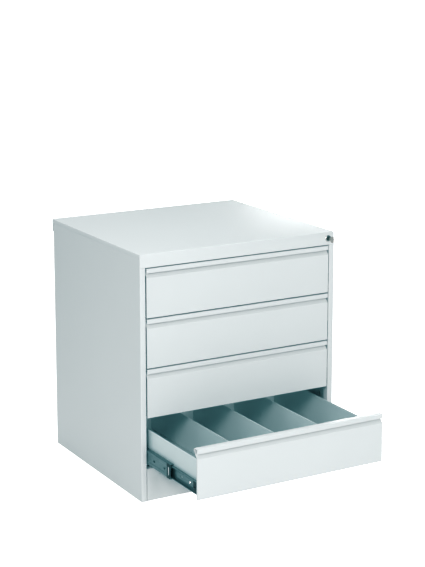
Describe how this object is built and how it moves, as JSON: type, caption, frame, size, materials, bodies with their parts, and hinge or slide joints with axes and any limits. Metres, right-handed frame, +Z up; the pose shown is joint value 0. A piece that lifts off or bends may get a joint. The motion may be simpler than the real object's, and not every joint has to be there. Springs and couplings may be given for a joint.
{
  "type": "card file cabinet",
  "caption": "Steel card file cabinet with a stack of lockable drawers on telescopic slides, each drawer split into lengthwise compartments under a full-width finger pull.",
  "frame": {"origin": "centre of the body's footprint on the floor", "axes": "+Z up, +X to the right seen from the front, drawers open towards -Y"},
  "size_m": [0.675, 0.913, 0.75],
  "materials": {
    "coat": "fine-textured light grey powder coat",
    "inside_coat": "light grey powder coat, drawer inside",
    "galvanised": "bright zinc-plated steel",
    "chrome": "polished nickel plate",
    "key_steel": "satin nickel silver"
  },
  "bodies": {
    "cabinet": {"top_cover": "coat", "left_side_panel": "coat", "right_side_panel": "coat", "back_panel": "coat", "bottom_panel": "coat", "plinth_front": "coat", "front_upright_left": "galvanised", "front_upright_right": "galvanised", "rear_upright_left": "galvanised", "rear_upright_right": "galvanised", "drawer_1_slide_outer_left": "galvanised", "drawer_1_slide_outer_right": "galvanised", "drawer_2_slide_outer_left": "galvanised", "drawer_2_slide_outer_right": "galvanised", "drawer_3_slide_outer_left": "galvanised", "drawer_3_slide_outer_right": "galvanised", "drawer_4_slide_outer_left": "galvanised", "drawer_4_slide_outer_right": "galvanised", "lock_barrel": "chrome"},
    "drawer_1": {"drawer_1_front": "coat", "drawer_1_tray": "inside_coat", "drawer_1_divider_1": "inside_coat", "drawer_1_divider_2": "inside_coat", "drawer_1_divider_3": "inside_coat", "drawer_1_slide_inner_left": "galvanised", "drawer_1_slide_inner_right": "galvanised"},
    "drawer_1_slides": {"drawer_1_slide_middle_left": "galvanised", "drawer_1_slide_middle_right": "galvanised"},
    "drawer_2": {"drawer_2_front": "coat", "drawer_2_tray": "inside_coat", "drawer_2_divider_1": "inside_coat", "drawer_2_divider_2": "inside_coat", "drawer_2_divider_3": "inside_coat", "drawer_2_slide_inner_left": "galvanised", "drawer_2_slide_inner_right": "galvanised"},
    "drawer_2_slides": {"drawer_2_slide_middle_left": "galvanised", "drawer_2_slide_middle_right": "galvanised"},
    "drawer_3": {"drawer_3_front": "coat", "drawer_3_tray": "inside_coat", "drawer_3_divider_1": "inside_coat", "drawer_3_divider_2": "inside_coat", "drawer_3_divider_3": "inside_coat", "drawer_3_slide_inner_left": "galvanised", "drawer_3_slide_inner_right": "galvanised"},
    "drawer_3_slides": {"drawer_3_slide_middle_left": "galvanised", "drawer_3_slide_middle_right": "galvanised"},
    "drawer_4": {"drawer_4_front": "coat", "drawer_4_tray": "inside_coat", "drawer_4_divider_1": "inside_coat", "drawer_4_divider_2": "inside_coat", "drawer_4_divider_3": "inside_coat", "drawer_4_slide_inner_left": "galvanised", "drawer_4_slide_inner_right": "galvanised"},
    "drawer_4_slides": {"drawer_4_slide_middle_left": "galvanised", "drawer_4_slide_middle_right": "galvanised"},
    "lock": {"lock_plug": "chrome", "lock_cam": "galvanised", "key": "key_steel"},
    "lock_bar": {"lock_bar": "galvanised"}
  },
  "joints": [
    {"name": "drawer_1_pull", "type": "slide", "parent": "cabinet", "child": "drawer_1", "axis": [0, -1, 0], "range_m": [0, 0.545]},
    {"name": "drawer_1_slides_extend", "type": "slide", "parent": "cabinet", "child": "drawer_1_slides", "axis": [0, -1, 0], "range_m": [0, 0.2725]},
    {"name": "drawer_2_pull", "type": "slide", "parent": "cabinet", "child": "drawer_2", "axis": [0, -1, 0], "range_m": [0, 0.545]},
    {"name": "drawer_2_slides_extend", "type": "slide", "parent": "cabinet", "child": "drawer_2_slides", "axis": [0, -1, 0], "range_m": [0, 0.2725]},
    {"name": "drawer_3_pull", "type": "slide", "parent": "cabinet", "child": "drawer_3", "axis": [0, -1, 0], "range_m": [0, 0.545]},
    {"name": "drawer_3_slides_extend", "type": "slide", "parent": "cabinet", "child": "drawer_3_slides", "axis": [0, -1, 0], "range_m": [0, 0.2725]},
    {"name": "drawer_4_pull", "type": "slide", "parent": "cabinet", "child": "drawer_4", "axis": [0, -1, 0], "range_m": [-0.298, 0.247]},
    {"name": "drawer_4_slides_extend", "type": "slide", "parent": "cabinet", "child": "drawer_4_slides", "axis": [0, -1, 0], "range_m": [-0.149, 0.1235]},
    {"name": "lock_turn", "type": "hinge", "parent": "cabinet", "child": "lock", "pos_m": [0.3135, -0.3035, 0.73], "axis": [0, -1, 0], "range_deg": [0, 90]},
    {"name": "lock_bar_lift", "type": "slide", "parent": "cabinet", "child": "lock_bar", "axis": [0, 0, 1], "range_m": [0, 0.01131]}
  ],
  "couplings": [
    {"joint": "drawer_1_slides_extend", "follows": "drawer_1_pull", "ratio": 0.5},
    {"joint": "drawer_2_slides_extend", "follows": "drawer_2_pull", "ratio": 0.5},
    {"joint": "drawer_3_slides_extend", "follows": "drawer_3_pull", "ratio": 0.5},
    {"joint": "drawer_4_slides_extend", "follows": "drawer_4_pull", "ratio": 0.5},
    {"joint": "lock_turn", "follows": "lock_bar_lift", "rad_per_m": 138.8}
  ]
}
